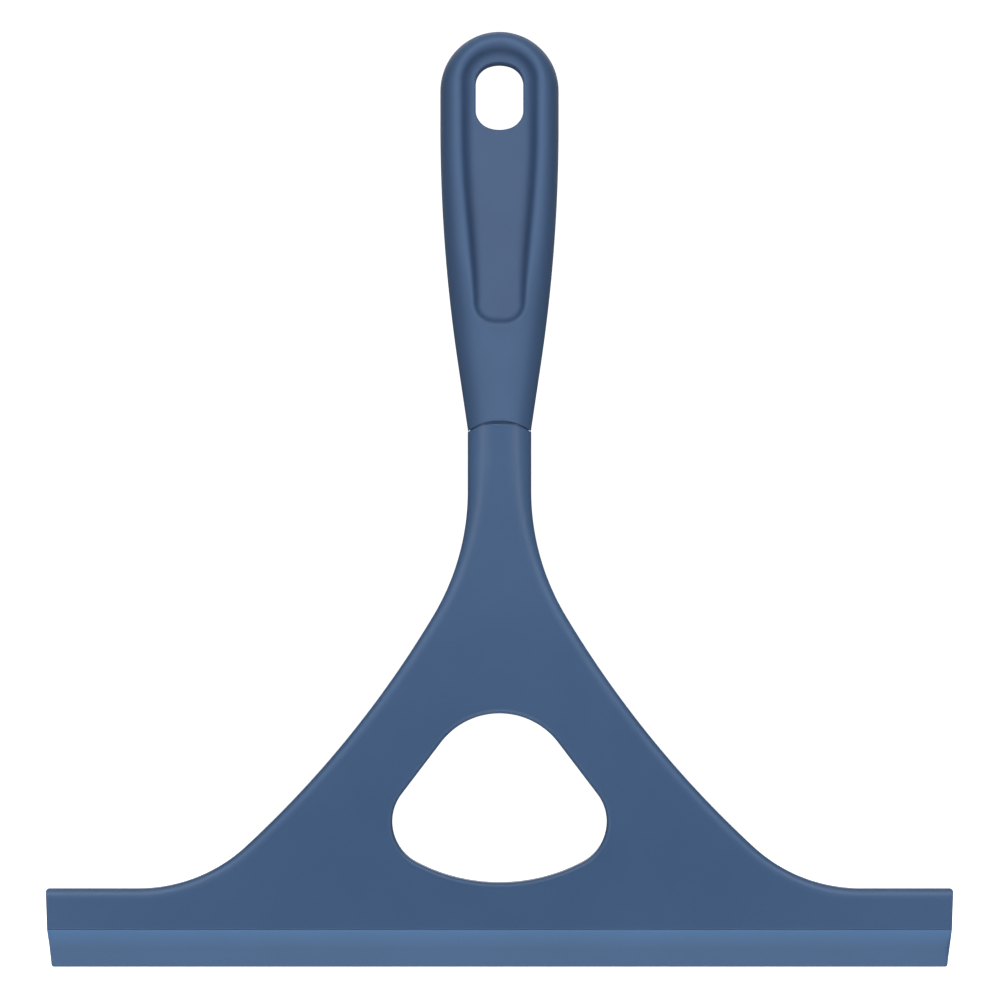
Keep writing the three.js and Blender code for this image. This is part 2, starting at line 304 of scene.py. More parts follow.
def solidFromPlan(name, plan, height, parting=None):
    # triangulates the front view, lifts it to both faces and joins them round every outline
    flat, _, faces, _, _, origin = delaunay_2d_cdt(
        [Vector(p) for p in plan["points"]], plan["edges"], plan["faces"], 1, weld, True)
    faces = [f for f, o in zip(faces, origin) if list(o) == [0]]
    used = sorted({v for f in faces for v in f})
    place = {v: i for i, v in enumerate(used)}
    mesh = bmesh.new()
    lifted = [(flat[v].x, height(flat[v].x, flat[v].y), flat[v].y) for v in used]
    front = [mesh.verts.new((x * mm, -y * mm, z * mm)) for x, y, z in lifted]
    back = [mesh.verts.new((x * mm, y * mm, z * mm)) for x, y, z in lifted]
    borders = {}
    for f in faces:
        ids = [place[v] for v in f]
        mesh.faces.new([front[i] for i in ids])
        mesh.faces.new([back[i] for i in reversed(ids)])
        for a, b in zip(ids, ids[1:] + ids[:1]):
            if borders.pop((b, a), None) is None:
                borders[(a, b)] = True
    outward = {}
    for a, b in borders:
        dx, dz = lifted[b][0] - lifted[a][0], lifted[b][2] - lifted[a][2]
        size = math.hypot(dx, dz) or 1
        for v in (a, b):
            n = outward.setdefault(v, [0, 0])
            n[0] += dz / size
            n[1] -= dx / size
    rows = {}
    for v, (nx, nz) in outward.items():
        x, y, z = lifted[v]
        column = [front[v]]
        if parting and y > parting["halfWidth"] * 2:
            size = math.hypot(nx, nz) or 1
            for at, rise in ((-1, 0), (0, parting["rise"]), (1, 0)):
                outX = x + nx / size * rise
                outZ = z + nz / size * rise
                column.append(mesh.verts.new((outX * mm, at * parting["halfWidth"] * mm, outZ * mm)))
        elif parting:
            column += [mesh.verts.new((x * mm, at * y * thinRows * mm, z * mm)) for at in (-1, 0, 1)]
        column.append(back[v])
        rows[v] = column
    for a, b in borders:
        for i in range(len(rows[a]) - 1):
            mesh.faces.new((rows[b][i], rows[a][i], rows[a][i + 1], rows[b][i + 1]))
    return objectFrom(name, mesh)


def objectFrom(name, mesh):
    if mesh.calc_volume(signed=True) < 0:
        bmesh.ops.reverse_faces(mesh, faces=mesh.faces[:])
    data = bpy.data.meshes.new(name)
    mesh.to_mesh(data)
    mesh.free()
    piece = bpy.data.objects.new(name, data)
    bpy.context.scene.collection.objects.link(piece)
    return piece


def sweptX(name, profile, ends, stations):
    # a closed (y, z) profile run along X; ends(z) gives how far out it reaches at each height
    mesh = bmesh.new()
    rings = []
    for s in stations:
        rings.append([mesh.verts.new((ends(z) * s * mm, y * mm, z * mm)) for y, z in profile])
    count = len(profile)
    for near, far in zip(rings, rings[1:]):
        for i in range(count):
            mesh.faces.new((near[i], near[(i + 1) % count], far[(i + 1) % count], far[i]))
    caps = [mesh.faces.new(rings[0]), mesh.faces.new(list(reversed(rings[-1])))]
    bmesh.ops.triangulate(mesh, faces=caps)
    bmesh.ops.recalc_face_normals(mesh, faces=mesh.faces[:])
    return objectFrom(name, mesh)


def cutAway(piece, cutter):
    cut = piece.modifiers.new("cut", "BOOLEAN")
    cut.operation = "DIFFERENCE"
    cut.solver = "EXACT"
    cut.object = cutter
    graph = bpy.context.evaluated_depsgraph_get()
    made = bpy.data.meshes.new_from_object(piece.evaluated_get(graph))
    piece.modifiers.clear()
    old = piece.data
    piece.data = made
    bpy.data.meshes.remove(old)
    bpy.data.objects.remove(cutter)


def storePaintedLight(piece, paintedLightAt):
    # the given function of (x, z) gives the colour multiplier for painted light and shade, kept at every
    # vertex
    kept = piece.data.attributes.new("paintedLight", "FLOAT_COLOR", "POINT")
    colours = [paintedLightAt(v.co.x / mm, v.co.z / mm) for v in piece.data.vertices]
    kept.data.foreach_set("color", [part for colour in colours for part in colour])


def finishPiece(piece, material, body, sharpDegrees=38):
    data = piece.data
    data.materials.clear()
    data.materials.append(material)
    data.polygons.foreach_set("use_smooth", [True] * len(data.polygons))
    data.polygons.foreach_set("material_index", [0] * len(data.polygons))
    data.set_sharp_from_angle(angle=math.radians(sharpDegrees))
    if body:
        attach(piece, body)


# what each material looks like; colours are linear

finishes = {
    "framePlastic": {
        "colour": (0.078, 0.1495, 0.291),
        "deep": 0.95,
        "roughness": 0.35,
        "specular": 0.48,
        "grain": 0.32,
        "grainDepth": 0.01,
        "blotch": 26,
        # painted shade: the middle of the plate and bar is darkened where the light falls off, fading out
        # over this reach
        "shade": (0.70, 0.78, 0.83),
        "shadeAt": (0, 0, -226),
        "shadeReach": (250, 250, 122),
        "paintedLight": "paintedLight",
    },
    "gripSkin": {
        "colour": (0.090, 0.163, 0.310),
        "deep": 0.96,
        "roughness": 0.62,
        "specular": 0.35,
        "grain": 0.24,
        "grainDepth": 0.015,
        "blotch": 18,
        # the floor of the thumb panel is a little greyer
        "shade": (0.96, 0.90, 0.88),
        "shadeAt": (0, 0, -35),
        "shadeReach": (9.5, 1000, 46),
        "shadeFull": 0.35,
        "paintedLight": "paintedLight",
    },
    "bladeRubber": {
        "colour": (0.103, 0.226, 0.444),
        "deep": 0.97,
        "roughness": 0.52,
        "specular": 0.32,
        "grain": 0.4,
        "grainDepth": 0.008,
        "blotch": 30,
        # painted light: the lip is toned greyer and darker and the shoulder fades into it, which leaves the
        # shoulder lighter where its slope would catch the light
        "shade": (0.87, 0.76, 0.735),
        "shadeAt": (0, 0, -253.3),
        "shadeReach": (100000, 100000, 15),
        "shadeFull": 0.42,
    },
}


pattern = {
    # how busy each noise is, and how much of the colour the fine speckle takes
    "blotchDetail": 3,
    "speckleSize": 2.2,  # times the grain
    "speckleDetail": 2,
    "speckleShare": 0.3,
    "rampFrom": 0.3,
    "rampTo": 0.7,
    "sheenSize": 0.4,  # times the blotch
    "sheenDetail": 2,
    "sheenSpread": 0.04,
    "grainDetail": 4,
    "grainStrength": 0.5,
}


def colourSocket(sockets, name):
    return next(s for s in sockets if s.name == name and s.type == "RGBA")


def makeFinish(name):
    f = finishes[name]
    material = bpy.data.materials.new(name)
    material.use_nodes = True
    tree = material.node_tree
    shader = tree.nodes["Principled BSDF"]
    place = tree.nodes.new("ShaderNodeTexCoord")

    def noise(size, detail):
        node = tree.nodes.new("ShaderNodeTexNoise")
        node.inputs["Scale"].default_value = 1 / (size * mm)
        node.inputs["Detail"].default_value = detail
        tree.links.new(place.outputs["Object"], node.inputs["Vector"])
        return node

    def tintedBy(tint):
        # multiplies whatever drives the base colour so far; tint is the mix node that does it
        before = shader.inputs["Base Color"].links[0].from_socket
        tint.data_type = "RGBA"
        tint.blend_type = "MULTIPLY"
        tree.links.new(before, colourSocket(tint.inputs, "A"))
        tree.links.new(colourSocket(tint.outputs, "Result"), shader.inputs["Base Color"])

    # cloudy colour of moulded pigment: slow blotches and a little fine speckle
    blotch = noise(f["blotch"], pattern["blotchDetail"])
    speckle = noise(f["grain"] * pattern["speckleSize"], pattern["speckleDetail"])
    clouds = tree.nodes.new("ShaderNodeMix")
    clouds.data_type = "FLOAT"
    clouds.inputs["Factor"].default_value = pattern["speckleShare"]
    tree.links.new(blotch.outputs["Fac"], clouds.inputs["A"])
    tree.links.new(speckle.outputs["Fac"], clouds.inputs["B"])
    ramp = tree.nodes.new("ShaderNodeValToRGB")
    ends = ((pattern["rampFrom"], f["deep"]), (pattern["rampTo"], 2 - f["deep"]))
    for element, (position, depth) in zip(ramp.color_ramp.elements, ends):
        element.position = position
        element.color = (*[part * depth for part in f["colour"]], 1)
    tree.links.new(clouds.outputs["Result"], ramp.inputs["Fac"])
    tree.links.new(ramp.outputs["Color"], shader.inputs["Base Color"])
    # a soft ball of tint in object space: painted shade in the middle of the frame, painted light on the
    # blade's shoulder over its greyer lip, and a greyer panel floor on the grip
    if "shade" in f:
        spot = tree.nodes.new("ShaderNodeMapping")
        for i in range(3):
            spot.inputs["Scale"].default_value[i] = 1 / (f["shadeReach"][i] * mm)
            spot.inputs["Location"].default_value[i] = -f["shadeAt"][i] / f["shadeReach"][i]
        tree.links.new(place.outputs["Object"], spot.inputs["Vector"])
        ball = tree.nodes.new("ShaderNodeTexGradient")
        ball.gradient_type = "SPHERICAL"
        tree.links.new(spot.outputs["Vector"], ball.inputs["Vector"])
        ease = tree.nodes.new("ShaderNodeMapRange")
        ease.interpolation_type = "SMOOTHSTEP"
        ease.inputs["From Max"].default_value = f.get("shadeFull", 1)
        tree.links.new(ball.outputs["Fac"], ease.inputs["Value"])
        shaded = tree.nodes.new("ShaderNodeMix")
        tintedBy(shaded)
        colourSocket(shaded.inputs, "B").default_value = (*f["shade"], 1)
        tree.links.new(ease.outputs["Result"], shaded.inputs["Factor"])
    if "paintedLight" in f:  # painted light: ridges and rims get a painted highlight, hollows and flanks get painted shade
        stored = tree.nodes.new("ShaderNodeAttribute")
        stored.attribute_name = f["paintedLight"]
        paintedTint = tree.nodes.new("ShaderNodeMix")
        tintedBy(paintedTint)
        paintedTint.inputs["Factor"].default_value = 1
        tree.links.new(stored.outputs["Color"], colourSocket(paintedTint.inputs, "B"))

    # satin that varies a little from place to place
    rub = noise(f["blotch"] * pattern["sheenSize"], pattern["sheenDetail"])
    sheenMap = tree.nodes.new("ShaderNodeMapRange")
    sheenMap.inputs["To Min"].default_value = f["roughness"] - pattern["sheenSpread"]
    sheenMap.inputs["To Max"].default_value = f["roughness"] + pattern["sheenSpread"]
    tree.links.new(rub.outputs["Fac"], sheenMap.inputs["Value"])
    tree.links.new(sheenMap.outputs["Result"], shader.inputs["Roughness"])

    # spark-eroded mould grain
    grain = noise(f["grain"], pattern["grainDetail"])
    bump = tree.nodes.new("ShaderNodeBump")
    bump.inputs["Strength"].default_value = pattern["grainStrength"]
    bump.inputs["Distance"].default_value = f["grainDepth"] * mm
    tree.links.new(grain.outputs["Fac"], bump.inputs["Height"])
    tree.links.new(bump.outputs["Normal"], shader.inputs["Normal"])

    shader.inputs["Specular IOR Level"].default_value = f["specular"]
    return material


framePlastic = makeFinish("framePlastic")
gripSkin = makeFinish("gripSkin")
bladeRubber = makeFinish("bladeRubber")
print("finishes made")

# the grip sleeve, with its thumb panel, hanging hole and mould line

grip = {
    "halfWidth": sleeveHigh[0],
    "crown": sleeveHigh[2],
    "end": sleeveLow[2],
    "taperStart": -17,
    "taperRadius": 444.7,
    "taperAngle": math.radians(8.46),
    "archRise": 2.8,
    "archPower": 2.3,
    # the groove under the arch loses this share of its width at the sides
    "grooveClose": 0.8,
    "groovePower": 4,
    # half thickness down the grip
    "thickness": [(8.8, 9.0), (1.5, 9.6), (-12.5, 9.95), (-36.5, 10.2), (-58.5, 9.8), (-74.5, 9.05),
                  (-88.5, 7.7), (-96.5, 6.6), (-101.3, 6.15)],
    "edgeOverlap": 0.4,
    "edgeDepth": 8.4,
    "crownEdgeWidth": 3.1,
    "crownEdgeDepth": 8.0,
    "endEdge": 0.4,
    # lower down, the edge's rounding grows until it takes in the whole half width
    "roundFrom": -50,
    "roundOver": 28,
    "roundShare": 0.985,
    "leastHalf": 0.3,
}
panel = {
    "crownCentre": -5.4,
    "crownRadius": 12.2,
    "marginTop": 4.1,
    "marginFoot": 5.5,
    "marginFrom": -18.5,
    "marginTo": -62.5,
    "footCentre": -65.6,
    "footRadius": 6.9,
    "sideLean": 0.985,  # distance square to the leaning side, for each millimetre across
    "floor": 6.4,
    # the wall down to the floor: a rounded crest, a slope and a fillet, tighter towards the foot
    "slope": 70,
    "crest": [(-10, 2.6), (-50, 2.1), (-70, 1.2)],
    "fillet": [(-10, 3.3), (-50, 2.7), (-70, 2.1)],
    "crownSlope": 56,
    "crownCrest": 4.6,
    "crownFillet": 2.6,
}
hole = {
    "halfWidth": 6.57,
    "length": 18.5,
    "cornerRadius": 5.4,
    "crownRadius": 8.8,
    "edge": 0.6,
}
parting = {"halfWidth": 0.12, "rise": 0.035}  # the fine ridge left where the mould's halves met

gripCentre = grip["crown"] - grip["halfWidth"]
taperArcEnd = grip["taperStart"] - grip["taperRadius"] * math.sin(grip["taperAngle"])


def gripHalfAt(z):
    # half the grip's width at a height: parallel, then a long arc, then a straight taper
    full = grip["halfWidth"]
    radius = grip["taperRadius"]
    if z > grip["taperStart"]:
        return full
    if z > taperArcEnd:
        return full - radius + math.sqrt(radius ** 2 - (grip["taperStart"] - z) ** 2)
    arcLoss = radius * (1 - math.cos(grip["taperAngle"]))
    return full - arcLoss - (taperArcEnd - z) * math.tan(grip["taperAngle"])


archHalf = gripHalfAt(grip["end"])


def archAt(x, drop=0):
    # the arch that ends the grip; drop down from it, a line that closes up to it towards the sides
    out = min(1, abs(x) / archHalf)
    rise = grip["archRise"] * (1 - out ** grip["archPower"])
    return grip["end"] + rise - drop * (1 - grip["grooveClose"] * out ** grip["groovePower"])


def gripInset(x, z):
    # distance in from the grip's outline
    x = abs(x)
    if z > gripCentre:
        return grip["halfWidth"] - math.hypot(x, z - gripCentre)
    if z > grip["taperStart"]:
        return grip["halfWidth"] - x
    centre = grip["halfWidth"] - grip["taperRadius"]
    if z > taperArcEnd:
        return grip["taperRadius"] - math.hypot(x - centre, z - grip["taperStart"])
    return (gripHalfAt(z) - x) * math.cos(grip["taperAngle"])


def panelMarginAt(z):
    down = (panel["marginFrom"] - z) / (panel["marginFrom"] - panel["marginTo"])
    return mix(panel["marginTop"], panel["marginFoot"], smooth(down))


def panelHalfAt(z):
    return gripHalfAt(z) - panelMarginAt(z)


footHalf = panelHalfAt(panel["footCentre"])
footOffset = footHalf - panel["footRadius"]


def panelInset(x, z):
    # distance inside the line where the panel's wall starts
    x = abs(x)
    if z > panel["crownCentre"]:
        return panel["crownRadius"] - math.hypot(x, z - panel["crownCentre"])
    if z > panel["footCentre"]:
        return (panelHalfAt(z) - x) * panel["sideLean"]
    if x < footOffset:
        return z - (panel["footCentre"] - panel["footRadius"])
    return panel["footRadius"] - math.hypot(x - footOffset, z - panel["footCentre"])


holeOffset = hole["halfWidth"] - hole["cornerRadius"]
holeRise = math.sqrt((hole["crownRadius"] - hole["cornerRadius"]) ** 2 - holeOffset ** 2)
holeTurn = math.atan2(holeRise, holeOffset)


def holeOutset(x, z):
    # distance outside the hanging hole
    x = abs(x)
    z = abs(z + hole["length"] / 2)
    crownZ = hole["length"] / 2 - hole["crownRadius"]
    cornerZ = crownZ + holeRise
    if z < cornerZ:
        return x - hole["halfWidth"]
    if math.atan2(z - cornerZ, max(tiny, x - holeOffset)) < holeTurn and x > holeOffset:
        return math.hypot(x - holeOffset, z - cornerZ) - hole["cornerRadius"]
    return math.hypot(x, z - crownZ) - hole["crownRadius"]


def holeRun(out, step):
    crownZ = -hole["crownRadius"]
    cornerZ = crownZ + holeRise
    lowZ = -hole["length"] + hole["crownRadius"]
    lowCorner = lowZ - holeRise
    right = arc(0, crownZ, hole["crownRadius"] + out, math.pi / 2, holeTurn, step)
    right += arc(holeOffset, cornerZ, hole["cornerRadius"] + out, holeTurn, 0, step)
    right += line(hole["halfWidth"] + out, cornerZ, hole["halfWidth"] + out, lowCorner, step)
    right += arc(holeOffset, lowCorner, hole["cornerRadius"] + out, 0, -holeTurn, step)
    right += arc(0, lowZ, hole["crownRadius"] + out, -holeTurn, -math.pi / 2, step)
    return right + mirrored(right)


def crownShare(x, z):
    # 1 at the top of the panel's crown, 0 along its sides
    return smooth(math.atan2(z - panel["crownCentre"], abs(x)) / (math.pi / 2))


def wallDrop(d, depth, z, over):
    # how far the panel's wall has fallen, d in from its crest; over is 1 at the top of the crown
    slope = math.radians(mix(panel["slope"], panel["crownSlope"], over))
    rise = 1 - math.cos(slope)
    crest = mix(alongKeys(panel["crest"], z), panel["crownCrest"], over)
    fillet = mix(alongKeys(panel["fillet"], z), panel["crownFillet"], over)
    shrink = min(1, depth / ((crest + fillet) * rise))
    crest *= shrink
    fillet *= shrink
    straight = max(0, depth - (crest + fillet) * rise) / math.tan(slope)
    first = crest * math.sin(slope)
    second = fillet * math.sin(slope)
    if d <= 0:
        return 0
    if d < first:
        return crest - math.sqrt(crest ** 2 - d ** 2)
    if d < first + straight:
        return crest * rise + (d - first) * math.tan(slope)
    left = first + straight + second - d
    if left <= 0:
        return depth
    return depth - fillet + math.sqrt(fillet ** 2 - left ** 2)


def gripHeight(x, z):
    thick = alongKeys(grip["thickness"], z)
    inset = gripInset(x, z)
    width = panelMarginAt(z) + grip["edgeOverlap"]
    depth = grip["edgeDepth"]
    if z > gripCentre:
        lift = math.atan2(z - gripCentre, abs(x)) / (math.pi / 2)
        width = mix(width, grip["crownEdgeWidth"], smooth(lift))
        depth = mix(depth, grip["crownEdgeDepth"], smooth(lift))
    low = smooth((grip["roundFrom"] - z) / grip["roundOver"])
    width = mix(width, gripHalfAt(z) * grip["roundShare"], low)
    depth = mix(depth, thick - grip["leastHalf"], low)
    surface = thick - edgeDrop(inset, width, depth)
    surface -= wallDrop(panelInset(x, z), surface - panel["floor"], z, crownShare(x, z))
    surface -= edgeDrop(holeOutset(x, z), hole["edge"], hole["edge"])
    return max(grip["leastHalf"], surface - edgeDrop(z - archAt(x), grip["endEdge"], grip["endEdge"]))


# painted light on the grip: shade in the panel's wall and on the flanks, a highlight along the ridge's
# crest
paintedLight = {
    "hollow": 0.39,
    # how far inside the wall's top line the deepest painted shade lies, and how wide it is, down the grip
    "hollowAt": [(-10, 3.3), (-51, 2.5), (-72, 1.35)],
    "hollowWidth": [(-10, 1.5), (-51, 1.25), (-72, 0.85)],
    "crownHollowAt": 3.5,
    "crownHollowWidth": 1.7,
    "ridge": 0.1,
    "ridgeAt": 0.9,
    "ridgeWidth": 0.8,
    "flank": 0.2,
    "flankAt": 2.2,
    "flankWidth": 2.0,
    # red and green give way sooner than blue where the painted shade is deep
    "balance": (1.15, 1.0, 0.88),
}


def bell(d, at, width):
    return math.exp(-((d - at) / width) ** 2)


def gripPaintedLight(x, z):
    # multiplies the colour: painted shade under 1 in the panel's wall and on the flanks, painted highlight
    # over 1 along the ridge
    d = panelInset(x, z)
    over = crownShare(x, z)
    at = mix(alongKeys(paintedLight["hollowAt"], z), paintedLight["crownHollowAt"], over)
    width = mix(alongKeys(paintedLight["hollowWidth"], z), paintedLight["crownHollowWidth"], over)
    change = paintedLight["ridge"] * bell(d, paintedLight["ridgeAt"], paintedLight["ridgeWidth"])
    change -= paintedLight["hollow"] * bell(d, at, width)
    flank = max(gripInset(x, z), paintedLight["flankAt"])
    change -= paintedLight["flank"] * bell(flank, paintedLight["flankAt"], paintedLight["flankWidth"]) * (1 - over)
    return [1 + change * share for share in paintedLight["balance"]] + [1]


gripMesh = {
    # spacing along the outline, the arch, the hole, the panel's rows and the foot's curve
    "outlineStep": 0.6,
    "archStep": 0.5,
    "holeStep": 0.4,
    "ringStep": 0.45,
    "crownStep": 0.5,
    "footStep": 0.4,
    # rows round the hole, over the flank as shares of the way in, down the wall and above the arch
    "holeRows": (0.06, 0.16, 0.32, 0.55, 0.85),
    "flankRows": (0.008, 0.03, 0.07, 0.13, 0.21, 0.31, 0.42, 0.54, 0.67, 0.8, 0.9, 1.0),
    "wallFrom": 0.35,
    "wallTo": 6.6,
    "wallStep": 0.42,
    "archRows": (0.05, 0.14, 0.28, 0.45, 0.8),
    "archReach": 0.985,  # share of the arch that those rows span
    "leanFrom": 24,  # below the hole's crown, where the rows start to lean towards the panel's crown
    "footTurn": -0.12,  # radians, where the row along the foot starts
    # loose points: how far apart across and up, and how far they keep from each line
    "across": 1,
    "up": 0.9,
    "fromEnd": 1,
    "fromWall": 6.9,
    "fromHole": 1.3,
    "fromPanel": 0.5,
    "fromRim": 0.5,
    "fromArch": 1.3,
}


def footArc(d, start):
    # the panel's rounded foot on the right, d inside the wall's top line
    radius = panel["footRadius"] - d
    return arc(footOffset, panel["footCentre"], radius, start, -math.pi / 2, gripMesh["footStep"])


def gripPlan():
    m = gripMesh
    plan = newPlan()
    step = m["outlineStep"]
    side = [(gripHalfAt(z), z) for _, z in line(0, grip["end"], 0, gripCentre, step)]
    crown = arc(0, gripCentre, grip["halfWidth"], 0, math.pi / 2, step)
    right = side + crown[1:]
    arch = [(x, archAt(x)) for x, _ in line(-archHalf, 0, archHalf, 0, m["archStep"])]
    addRun(plan, right + mirrored(right[:-1]) + arch[1:-1], closed=True, asFace=True)
    addRun(plan, holeRun(0, m["holeStep"]), closed=True, asFace=True)
    for out in m["holeRows"]:
        addRun(plan, holeRun(out, m["ringStep"]), closed=True)
    # rows that pass from the outline to the line where the panel wall starts
    lean = panel["crownCentre"] - gripCentre
    inner = []
    for x, z in side:
        shift = lean * smooth((z + m["leanFrom"]) / (gripCentre + m["leanFrom"]))
        inner.append((panelHalfAt(z + shift), z + shift))
    count = len(crown) - 1
    for i in range(1, count + 1):
        turn = math.pi / 2 * i / count
        inner.append((panel["crownRadius"] * math.cos(turn),
                      panel["crownCentre"] + panel["crownRadius"] * math.sin(turn)))
    for f in m["flankRows"]:
        row = [(mix(a[0], b[0], f), mix(a[1], b[1], f)) for a, b in zip(right, inner)]
        row = [(x, max(z, archAt(x))) for x, z in row]
        addRun(plan, row + mirrored(row[:-1]))
    # rows down the panel's wall
    wallSide = line(0, panel["crownCentre"], 0, panel["footCentre"], step)[1:]
    d = m["wallFrom"]
    while d < m["wallTo"]:
        row = arc(0, panel["crownCentre"], panel["crownRadius"] - d, math.pi / 2, 0, m["crownStep"])
        row += [(panelHalfAt(z) - d / panel["sideLean"], z) for _, z in wallSide]
        row += footArc(d, 0)[1:]
        addRun(plan, row + mirrored(row), closed=True)
        d += m["wallStep"]
    foot = footArc(0, m["footTurn"])
    addRun(plan, foot + mirrored(foot))
    reach = archHalf * m["archReach"]
    for up in m["archRows"]:
        addRun(plan, [(x, archAt(x) + up) for x, _ in line(-reach, 0, reach, 0, m["archStep"])])
    # loose points over the floor and the lower grip
    z = grip["end"] + m["fromEnd"]
    row = 0
    while z < gripCentre:
        x = 0 if row % 2 else m["across"] / 2
        while x < grip["halfWidth"]:
            inside = panelInset(x, z)
            onFloor = inside > m["fromWall"] and holeOutset(x, z) > m["fromHole"]
            offRim = gripInset(x, z) > panelMarginAt(z) + m["fromRim"]
            below = inside < -m["fromPanel"] and offRim and z - archAt(x) > m["fromArch"]
            if onFloor or below:
                addLoose(plan, x, z)
            x += m["across"]
        z += m["up"]
        row += 1
    return plan


# the tang inside the grip, and the socket cut for it

tang = {
    "half": 5.6,
    "thick": 3.35,
    "top": -25.6,
    "foot": -106,
    "round": 2,
    "edge": 0.6,
    "clearance": 0.3,
    # the collar fills the mouth of the sleeve
    "collarHalf": 8.15,
    "collarThick": 5.2,
    "collarTop": -96.6,
    "collarSlope": 1.6,
    "collarRound": 0.95,  # share of the collar's half width that its rounded edge takes
    "collarLeast": 0.9,  # half thickness left at the collar's edge
    # rows in from the outline, and columns of loose points up the tang
    "rows": (0.1, 0.3, 0.6, 1.2, 1.9),
    "columns": (0, 1.5, 3, 4.2, 5.2),
    "columnFoot": 2.5,
    "columnTop": 0.3,
    "columnStep": 0.9,
    "collarStep": 1,
    "sideStep": 2,
    "curveStep": 0.4,
}


def tangPiece(name, grow):
    t = tang
    top = t["top"] + grow
    foot = t["foot"] - grow
    turn = t["round"] + grow
    half = t["half"] + grow
    collarHalf = t["collarHalf"] + grow
    collarTop = t["collarTop"] + grow
    stepZ = collarTop - t["collarSlope"]

    def halfAt(z):
        return mix(half, collarHalf, min(1, max(0, (collarTop - z) / t["collarSlope"])))

    def height(x, z):
        wide = (halfAt(z) - half) / (collarHalf - half)
        thick = mix(t["thick"], t["collarThick"], wide) + grow
        d = min(halfAt(z) - abs(x), top - z, z - foot)
        edgeWidth = mix(t["edge"], t["collarHalf"] * t["collarRound"], wide)
        return thick - edgeDrop(d, edgeWidth, mix(t["edge"], thick - t["collarLeast"], wide))

    def side(d):
        run = line(collarHalf - d, foot + d, collarHalf - d, stepZ, t["collarStep"])
        run += line(collarHalf - d, stepZ, half - d, collarTop, t["curveStep"])[1:]
        run += line(half - d, collarTop, half - d, top - turn, t["sideStep"])[1:]
        return run + arc(half - turn, top - turn, turn - d, 0, math.pi / 2, t["curveStep"])[1:]

    plan = newPlan()
    right = side(0)
    addRun(plan, right + mirrored(right), closed=True, asFace=True)
    for d in t["rows"]:
        inner = side(d)
        addRun(plan, inner + mirrored(inner), closed=True)
    low = foot + t["columnFoot"]
    high = collarTop - t["columnTop"]
    for x in t["columns"]:
        for s in (-1, 1):
            plan["points"] += line(s * x, low, s * x, high, t["columnStep"])
    return solidFromPlan(name, plan, height)


sleeve = solidFromPlan("gripSleeve", gripPlan(), gripHeight, parting)
cutAway(sleeve, tangPiece("socketCutter", tang["clearance"]))
storePaintedLight(sleeve, gripPaintedLight)
finishPiece(sleeve, gripSkin, "head")
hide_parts("grip_sleeve")
print("grip sleeve made:", len(sleeve.data.polygons), "faces")

core = tangPiece("tang", 0)
storePaintedLight(core, lambda x, z: [1] * 4)
finishPiece(core, framePlastic, "head")
print("tang made")

# the frame: neck, flared plate and bar

body = {
    "neckHalf": 8.74,
    "groove": 0.7,  # between the sleeve and the neck
    "flareStart": grip["end"] - 16.5,
    # three arcs, each tangent to the next, and how far each has turned from upright at its end
    "flareRadii": [66.7, 286.4, 43.8],
    "flareAngles": [math.radians(a) for a in (30.84, 47.33, 90)],
    "seam": frameLow[2] - 0.1,
    "barHalf": frameHigh[0],
    "barHeight": 11,
    "endDraft": 0.35,
    "cornerRadius": 0.8,
    # half thickness down the frame, then the width and depth of its rounded edge
    "thickness": [(-98.5, 5.75), (-106.5, 5.6), (-116.5, 5.2), (-126.5, 4.3), (-138.5, 3.45),
                  (-150.5, 3.05), (-156.5, 3.0)],
    "edgeWidth": [(-98.5, 8.7), (-106.5, 8.7), (-114.5, 7.4), (-124.5, 6.0), (-138.5, 4.7), (-152.5, 3.9),
                  (-175, 3.3), (-212, 3.0), (-228, 2.9)],
    "edgeDepth": [(-98, 5.3), (-106, 5.0), (-116, 4.4), (-126, 3.3), (-138, 2.4), (-152, 1.9), (-170, 1.7)],
    "endEdge": 0.45,
    "endFrom": 1,  # above the bar, where the rounding of its ends begins
    "seamEdge": 0.2,
    "topEdge": 0.5,
    # a painted highlight along the rounded rim of the flare and bar: its strength, where it lies, its width
    # and falloff, and where it fades in
    "rimHighlight": 0.13,
    "rimHighlightAt": 1.5,
    "rimHighlightWidth": 1.2,
    "rimHighlightPower": 4,
    "rimHighlightFrom": -125,
    "rimHighlightFade": 25,
}
window = {
    "aboveBar": 1.65,
    "height": 46.65,
    "crownRadius": 20.3,
    "cornerRadius": 12.5,
    "cornerOffset": 17.1,
    "cornerRise": 16.75,
    "cornerFrom": 0.2,  # share of the corner's offset beyond which a point can lie nearest the corner
    "edgeWidth": 1.5,
    "edgeDepth": 1.0,
}
channel = {
    "beadHalf": 1.8,
    "throatHalf": 0.9,
    "top": 5.6,
    "height": 2.9,
    "cutBelow": 3,  # the cut runs out past the seam and the bar's ends
    "cutBeyond": 5,
}


def flareChain():
    chain = []
    x = body["neckHalf"]
    z = body["flareStart"]
    start = 0
    for radius, end in zip(body["flareRadii"], body["flareAngles"]):
        cx = x + radius * math.cos(start)
        cz = z + radius * math.sin(start)
        chain.append((cx, cz, radius, start, end))
        x = cx - radius * math.cos(end)
        z = cz - radius * math.sin(end)
        start = end
    return chain, x, z


flareArcs, flareFoot, barTop = flareChain()


def frameInset(x, z):
    # distance in from the neck, the flare and the bar's top edge
    x = abs(x)
    if z > body["flareStart"]:
        return body["neckHalf"] - x
    for cx, cz, radius, _, end in flareArcs:
        if math.atan2(cz - z, cx - x) < end:
            return math.hypot(cx - x, cz - z) - radius
    return barTop - z


def barEndAt(z):
    return body["barHalf"] - body["endDraft"] * (barTop - z) / body["barHeight"]


